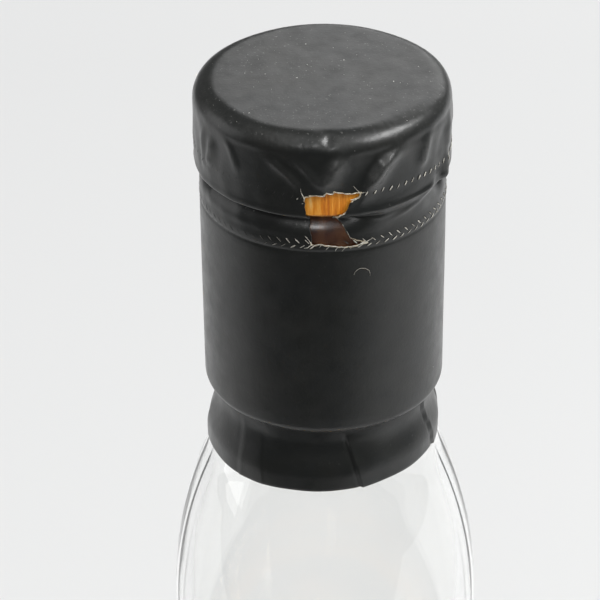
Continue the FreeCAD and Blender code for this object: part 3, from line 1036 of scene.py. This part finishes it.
def openness(angle, right, near, left):
    """How far a slit stands open: it falls off to the left of the tear and stays high to its right."""
    side = smooth_step(angle, 6.0, 20.0) * (1 - smooth_step(angle, 74.0, 130.0))
    close = np.exp(-(((angle + 4.0) / near) ** 2)) * (angle < 8)
    return float(np.clip(left + right * side + close, 0.04, 1.0))


def tear_line_drop(angle, knots):
    """Depth of a tear line at an angle, from (degrees, drop) knots, level beyond them."""
    return float(np.interp(angle, *np.array(knots).T))


UPPER_KNOTS = [
    (-50, 8.1), (-38, 7.9), (-28, 7.95), (-10, 8.45), (-8, 8.4), (16, 8.1),
    (30, 8.35), (48, 8.4), (60, 8.7), (78, 8.9), (100, 8.9),
]
LOWER_KNOTS = [
    (-60, 16.1), (-42, 16.2), (-30, 15.85), (-20, 15.5), (-8, 15.35),
    (16, 15.6), (27, 15.65), (51, 15.75), (75, 15.5),
]


def all_round(pitch, radius):
    """Angles in degrees from the back round to the back again, a pitch in mm apart."""
    angle, step = -180.0, pitch / radius * 180 / math.pi
    while angle < 180.0 - step / 2:
        yield angle
        angle += step


def slit_rows():
    """Every slit of both tear lines, left out where the film has been torn away."""
    chance = random.Random(21)
    rows = []
    lift = 0.012
    for angle in all_round(1.15, head_side):
        drop = tear_line_drop(angle, UPPER_KNOTS) + chance.uniform(-0.05, 0.05)
        if not -8.6 < angle < 16.5:
            gape = openness(angle, 0.95, 3.2, 0.03) * chance.uniform(0.65, 1.1)
            rows.append((angle, drop, 0.38 + chance.uniform(-0.07, 0.07), -0.62, min(gape, 1), lift))
    for angle in all_round(1.22, collar_side):
        drop = tear_line_drop(angle, LOWER_KNOTS)
        gape = openness(angle, 0.75, 17.0, 0.04)
        upper_gape, lower_gape = (min(1.0, gape * chance.uniform(0.55, 1.15)) for _ in range(2))
        if not -5.6 < angle < 11.0:
            fall = 0.58 + chance.uniform(-0.1, 0.1)
            rows.append((angle - 1.3, drop - 0.30, 0.56, fall, upper_gape, lift))
        if not -4.6 < angle < 14.0:
            fall = -0.46 + chance.uniform(-0.1, 0.1)
            rows.append((angle + 0.5, drop + 0.42, 0.64, fall, lower_gape, lift))
    return rows


lay_strokes = stroke_tree()
# the slits are near-black beads: painted shade where the film stands open
slit_black = plain_finish("slit_shadow", (0.003, 0.003, 0.003), 0.85)
stretched = lip_finish()
slits = plain_mesh("capsule_slits", marks_mesh("slit_marks", slit_rows()), lay_strokes, {
    "Slit": slit_black,
    "Lip": stretched,
    "Seed": 5,
    "Slit Width": 0.00011,
    "Lip Width": 0.0001,
    "Lip Offset": -1.3,
})
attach(slits, "root")

# ---------------------------------------------------------------------------------------------------
# Torn edge. The film has whitened and frayed to a thin cream fringe along the tear, with small barbs
# where it gave way at the slits; beside it a lint fibre clings to the collar.


def strand_tree():
    """Geometry Nodes: sweeps a small round section along the strands, as thick as their points say."""
    choices = [("Strands", "Geometry", None), ("Sides", "Int", 6), ("Finish", "Material", None)]
    tree, given, result = new_tree("sweep_strands", choices, "Swept")
    curve = wired(tree, "GeometryNodeMeshToCurve", {0: given["Strands"]})
    circle = {"Radius": 1.0, "Resolution": given["Sides"]}
    section = wired(tree, "GeometryNodeCurvePrimitiveCircle", circle)
    pieces = {"Curve": curve, "Profile Curve": section, "Scale": named(tree, "thick"), "Fill Caps": True}
    swept = wired(tree, "GeometryNodeCurveToMesh", pieces)
    smooth = wired(tree, "GeometryNodeSetShadeSmooth", {"Geometry": swept})
    end_tree(tree, smooth, given["Finish"], result)
    return tree


def strands_mesh(name, strands, lift):
    """Open chains on the film, each a list of (degrees, drop, half-thickness in mm, whiteness)."""
    places, links, thick, white = [], [], [], []
    for strand in strands:
        strand = np.array(strand, float)
        place, normal, _, _ = film_frame(np.radians(strand[:, 0]), strand[:, 1])
        links += [(len(places) + i, len(places) + i + 1) for i in range(len(strand) - 1)]
        places += (place + normal * lift * MM).tolist()
        thick += (strand[:, 2] * MM).tolist()
        white += strand[:, 3].tolist()
    mesh = bpy.data.meshes.new(name)
    mesh.from_pydata(places, links, [])
    store(mesh, thick=thick, gape=white)
    return mesh


def fringe_strands():
    """The whitened edge, thin or missing along the clean left side, thick along the bottom."""
    chance = random.Random(31)
    angles, drops = np.degrees(tear_line[:, 0] / head_side), tear_line[:, 1]
    strands, strand = [], []
    for i in range(len(tear_line) + 1):
        angle, drop = float(angles[i % len(angles)]), float(drops[i % len(drops)])
        left_side = angle < -4.6 and 9.0 < drop < 15.2
        clean_right = 9.3 < drop < 10.7 and angle > 8.5 or 12.3 < drop < 14.7 and angle > 4.6
        clean = left_side or clean_right
        size = 0.020 if clean and drop <= 15.1 else 0.055
        white = 0.10 if clean else chance.uniform(0.6, 1.0)
        if angle > 11.0 and 14.0 < drop < 15.65:
            size, white = 0.02, 0.3
        if chance.random() < 0.15:
            size *= 0.4
        strand.append((angle, drop, size * chance.uniform(0.5, 1.4), white))
        if len(strand) > 6 and chance.random() < 0.12:
            strands.append(strand)
            strand = strand[-1:]
    strands.append(strand)
    return [s for s in strands if len(s) > 1]


# barbs and slivers left standing at the edge: (degrees, drop) points, half-thickness in mm, whiteness
SLIVERS = [
    ([(-8.1, 8.5), (-8.8, 8.1), (-9.3, 7.6), (-9.4, 7.2)], 0.05, 0.7),
    ([(-7.9, 8.7), (-8.4, 8.3), (-9.0, 7.9)], 0.10, 0.85),
    ([(-11.2, 8.75), (-10.6, 8.55)], 0.06, 0.95),
    ([(-9.0, 9.35), (-8.3, 9.25)], 0.05, 0.35),
    ([(16.2, 8.1), (14.6, 7.6), (13.2, 7.0)], 0.045, 0.85),
    ([(16.8, 8.1), (18.4, 8.0)], 0.05, 0.9),
    ([(12.0, 8.9), (14.2, 9.0), (16.0, 8.55)], 0.06, 0.9),
    ([(2.6, 15.8), (1.2, 16.25)], 0.05, 1.0),
    ([(6.6, 15.95), (5.4, 16.45)], 0.05, 1.0),
    ([(10.0, 16.05), (8.6, 16.6)], 0.055, 1.0),
    ([(13.4, 15.95), (12.2, 16.35)], 0.045, 0.8),
    ([(-0.8, 15.5), (-1.6, 15.95)], 0.05, 0.9),
    ([(-5.2, 15.5), (-6.9, 16.0), (-8.6, 16.1)], 0.06, 1.0),
    ([(-5.3, 15.4), (-6.4, 14.9), (-8.2, 14.3)], 0.05, 1.0),
    ([(8.9, 12.9), (11.0, 13.9), (12.4, 14.9)], 0.045, 0.75),
    ([(17.0, 15.75), (20.0, 15.6), (23.0, 15.3)], 0.06, 0.95),
]
slivers = [
    [(a, d, size * (1 - 0.6 * i / (len(path) - 1)), white) for i, (a, d) in enumerate(path)]
    for path, size, white in SLIVERS
]
sweep_strands = strand_tree()
frayed_edge = strands_mesh("fringe_strands", fringe_strands() + slivers, 0.0)
fringe = plain_mesh("capsule_torn_fringe", frayed_edge, sweep_strands, {"Finish": stretched})
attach(fringe, "root")

lint_path = [
    (13.9, 20.25), (14.3, 19.9), (15.6, 19.55), (17.2, 19.4),
    (19.3, 19.55), (21.1, 19.95), (21.6, 20.4), (21.5, 20.8),
]
fibre = strands_mesh("lint_path", [[(a, d, 0.042, 0.3) for a, d in lint_path]], 0.03)
lint = plain_mesh("capsule_lint", fibre, sweep_strands, {"Finish": stretched})
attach(lint, "root")

# ---------------------------------------------------------------------------------------------------
# Dust. Pale grey grains lie thickly on the flat top of the capsule, more thinly round the rim, and a
# few cling to its side.


def dust_tree():
    """Geometry Nodes: scatters small grains over a surface, thickly where its 'dusty' value is high."""
    tree, given, result = new_tree("scatter_dust", [
        ("Surface", "Geometry", None),
        ("Density", "Float", 100000.0),
        ("Smallest", "Float", 0.00002),
        ("Largest", "Float", 0.00008),
        ("Seed", "Int", 1),
        ("Finish", "Material", None),
    ], "Grains")
    density = product(tree, given["Density"], named(tree, "dusty"))
    scattered = {"Mesh": given["Surface"], "Density": density, "Seed": given["Seed"]}
    points = wired(tree, "GeometryNodeDistributePointsOnFaces", scattered)
    grain = wired(tree, "GeometryNodeMeshIcoSphere", {"Radius": 1.0, "Subdivisions": 1})
    skewed = sums(tree, "POWER", draw(tree, 0.0, 1.0, given["Seed"]), 3.0)
    between = sums(tree, "SUBTRACT", given["Largest"], given["Smallest"])
    size = sums(tree, "MULTIPLY_ADD", skewed, between, given["Smallest"])
    lean = {0: (-0.5, -0.5, 0), 1: (0.5, 0.5, 6.28)}
    turn = wired(tree, "FunctionNodeRandomValue", lean, data_type="FLOAT_VECTOR")
    shape = (product(tree, size, 1.5), size, product(tree, size, 0.7))
    end_tree(tree, laid(tree, points, grain, turn, shape), given["Finish"], result)
    return tree


def dusty_surface():
    """The film's own faces, with how readily dust stays on them."""
    mesh = film.data.copy()
    height = np.empty(len(mesh.vertices) * 3)
    mesh.vertices.foreach_get("co", height)
    drop = bottle_top - height[2::3] / MM
    dusty = np.where(drop < 0.6, 1.0, np.where(drop < 3.0, 0.12, np.where(drop < 44, 0.012, 0.0)))
    store(mesh, dusty=dusty)
    return mesh


dust_grey = plain_finish("dust_grains", (0.50, 0.50, 0.47), 0.9)
dust = plain_mesh("capsule_dust", dusty_surface(), dust_tree(), {
    "Density": 90000.0,
    "Smallest": 0.00003,
    "Largest": 0.000105,
    "Seed": 9,
    "Finish": dust_grey,
})
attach(dust, "root")

# ---------------------------------------------------------------------------------------------------
# Stage. A table of pale paper whose near edge passes a little in front of the bottle; soft lamps right,
# left, behind and above, and a small one in front that glints on the glass lip; and the camera, which
# looks down on the neck.

edge_gap, edge_turn = 0.26, math.radians(-16.0)
table_size = 2.4
table_shift = table_size / 2 - edge_gap  # of the table's middle, from under the bottle


def seen_directly(tree):
    """Two masks: rays from the camera or from within glass, and rays off a glossy surface."""
    path = add(tree, "ShaderNodeLightPath").outputs
    return sums(tree, "MAXIMUM", path["Is Camera Ray"], path["Is Transmission Ray"]), path["Is Glossy Ray"]


def floor_finish():
    """Pale paper that takes the bottle's shadow and is seen near white, out to its far edge."""
    material, tree = new_material("pale_floor")
    seen, glossy = seen_directly(tree)
    mirrored = product(tree, sums(tree, "GREATER_THAN", glossy, seen), 0.61)
    place = wired(tree, "ShaderNodeMapping", {"Vector": on_piece(tree), "Location": (0, table_shift, 0)})
    from_bottle = add(tree, "ShaderNodeVectorMath", operation="LENGTH")
    tree.links.new(place, from_bottle.inputs[0])
    near, far = 0.6, 2.0  # in metres; between them the paper grows brighter
    glow = spread(tree, from_bottle.outputs["Value"], near, far, 0.36, 0.60)
    return shaded(material, {
        "Base Color": (0.42, 0.424, 0.424, 1),
        "Roughness": 0.9,
        "Specular IOR Level": 0.1,
        "Emission Color": (1, 1, 1, 1),
        "Emission Strength": sums(tree, "MULTIPLY_ADD", seen, glow, mirrored),
    })


floor_middle = (-table_shift * math.sin(edge_turn), table_shift * math.cos(edge_turn), 0)
bpy.ops.mesh.primitive_plane_add(size=table_size, location=floor_middle)
floor = bpy.context.object
floor.name = "stage_floor"
floor.rotation_euler.z = edge_turn
floor.data.materials.append(floor_finish())

world = bpy.data.worlds.new("studio")
bpy.context.scene.world = world
world.use_nodes = True
sky = world.node_tree
background = sky.nodes["Background"]
background.inputs["Color"].default_value = (0.97, 0.985, 0.985, 1)
seen_light, plain_light = 0.72, 0.14  # what the camera sees on top of what lights the bottle
brightness = sums(sky, "MULTIPLY_ADD", seen_directly(sky)[0], seen_light, plain_light)
sky.links.new(brightness, background.inputs["Strength"])

aim = Vector((0, 0, cad_box[1].z - 0.02))  # every lamp faces this place in the neck


def soft_light(name, place, width, height, watts):
    """A soft light panel that the camera doesn't see."""
    data = bpy.data.lights.new(name, "AREA")
    data.shape = "RECTANGLE"
    data.size, data.size_y = width, height
    data.energy = watts
    lamp = bpy.data.objects.new(name, data)
    bpy.context.scene.collection.objects.link(lamp)
    lamp.location = place
    lamp.rotation_euler = (aim - Vector(place)).to_track_quat("-Z", "Y").to_euler()
    lamp.visible_camera = False


soft_light("soft_right", (0.95, -0.30, 1.25), 0.90, 0.34, 21.0)
soft_light("soft_left", (-1.25, 0.15, 0.50), 0.9, 0.9, 4.0)
soft_light("soft_back", (0.5, 1.45, 1.24), 1.5, 1.5, 13.5)
soft_light("soft_above", (-0.1, -0.95, 1.95), 2.3, 2.3, 14.0)
soft_light("soft_front", (-0.10, -0.95, 0.84), 0.14, 0.14, 2.0)

distance, above = 0.3188, 0.1668  # from the bottle's axis, and over the top of the capsule
pitch, yaw, roll = 0.5615, -0.0098, -0.011
view = Vector((math.sin(yaw) * math.cos(pitch), math.cos(yaw) * math.cos(pitch), -math.sin(pitch)))
level_right = view.cross(Vector((0, 0, 1))).normalized()
level_up = level_right.cross(view)
right = math.cos(roll) * level_right + math.sin(roll) * level_up
up = -math.sin(roll) * level_right + math.cos(roll) * level_up
lens = bpy.data.cameras.new("camera")
lens.sensor_width = 36.0
lens.lens = 169.3
lens.clip_start = 0.01
camera = bpy.data.objects.new("camera", lens)
bpy.context.scene.collection.objects.link(camera)
camera.matrix_world = Matrix((
    (right.x, up.x, -view.x, 0.0),
    (right.y, up.y, -view.y, -distance),
    (right.z, up.z, -view.z, cad_box[1].z + above),
    (0, 0, 0, 1),
))
bpy.context.scene.camera = camera
bpy.context.scene.view_settings.view_transform = "Standard"
